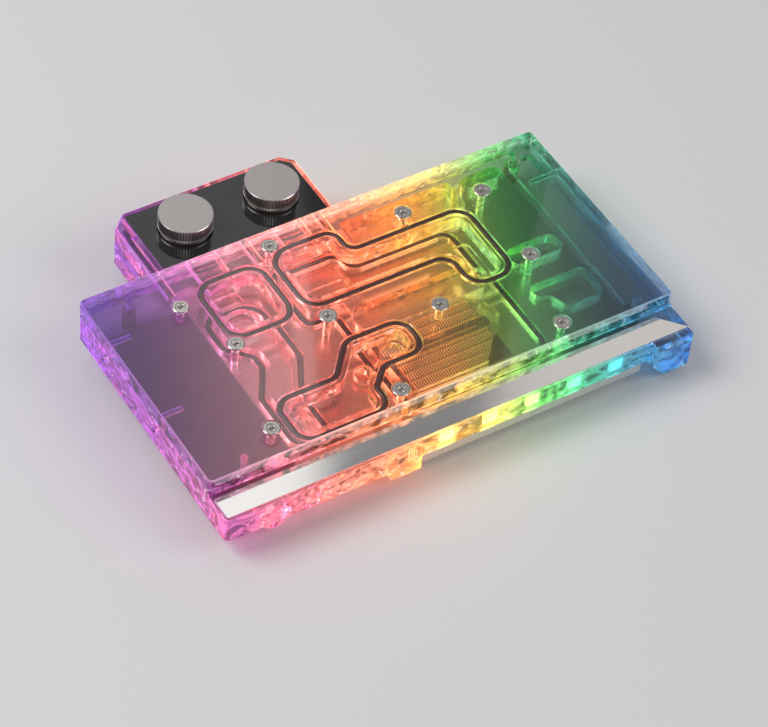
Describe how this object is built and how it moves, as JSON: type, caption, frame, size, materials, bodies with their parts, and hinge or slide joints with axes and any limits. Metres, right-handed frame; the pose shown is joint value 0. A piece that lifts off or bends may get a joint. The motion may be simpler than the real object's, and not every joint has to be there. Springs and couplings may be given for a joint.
{
  "type": "gpu water block",
  "caption": "Full-cover liquid cooling block for a graphics card: clear milled body over a nickel-plated finned plate, with a terminal for two ports and a row of coloured lights.",
  "frame": {"origin": "middle of the assembly's underside, in the plane of the card that its stand-offs rest on", "axes": "+X along the block from the end with the two bracket holes to the end with the cut trim, +Y from the lit front edge to the terminal, +Z from the card side to the cover"},
  "size_m": [0.188, 0.1384, 0.0322],
  "materials": {
    "clear_cover": "gloss",
    "clear_body": "gloss",
    "clear_terminal": "gloss",
    "nickel": "polished",
    "stainless": "brushed",
    "seal_rubber": "satin",
    "dark_facing": "gloss",
    "plug_chrome": "polished",
    "screw_steel": "satin",
    "trim_steel": "polished",
    "board": "matte",
    "light_chip": "matte",
    "standoff_brass": "satin"
  },
  "bodies": {
    "root": {"cover_plate": "clear_cover", "main_body": "clear_body", "terminal_block": "clear_terminal", "cold_plate": "nickel", "jet_strip": "stainless", "inlet_chamber_seal": "seal_rubber", "bridge_chamber_seal": "seal_rubber", "cross_chamber_seal": "seal_rubber", "flow_channel_seal": "seal_rubber", "core_seal": "seal_rubber", "passage_seal_left": "seal_rubber", "passage_seal_right": "seal_rubber", "plug_seal_left": "seal_rubber", "plug_seal_right": "seal_rubber", "terminal_facing": "dark_facing", "stop_plug_left": "plug_chrome", "stop_plug_right": "plug_chrome", "cover_screws": "screw_steel", "terminal_screws": "screw_steel", "trim_strip": "trim_steel", "led_board": "board", "led_chips": "light_chip", "core_standoffs": "standoff_brass", "edge_standoffs": "standoff_brass"}
  },
  "joints": []
}
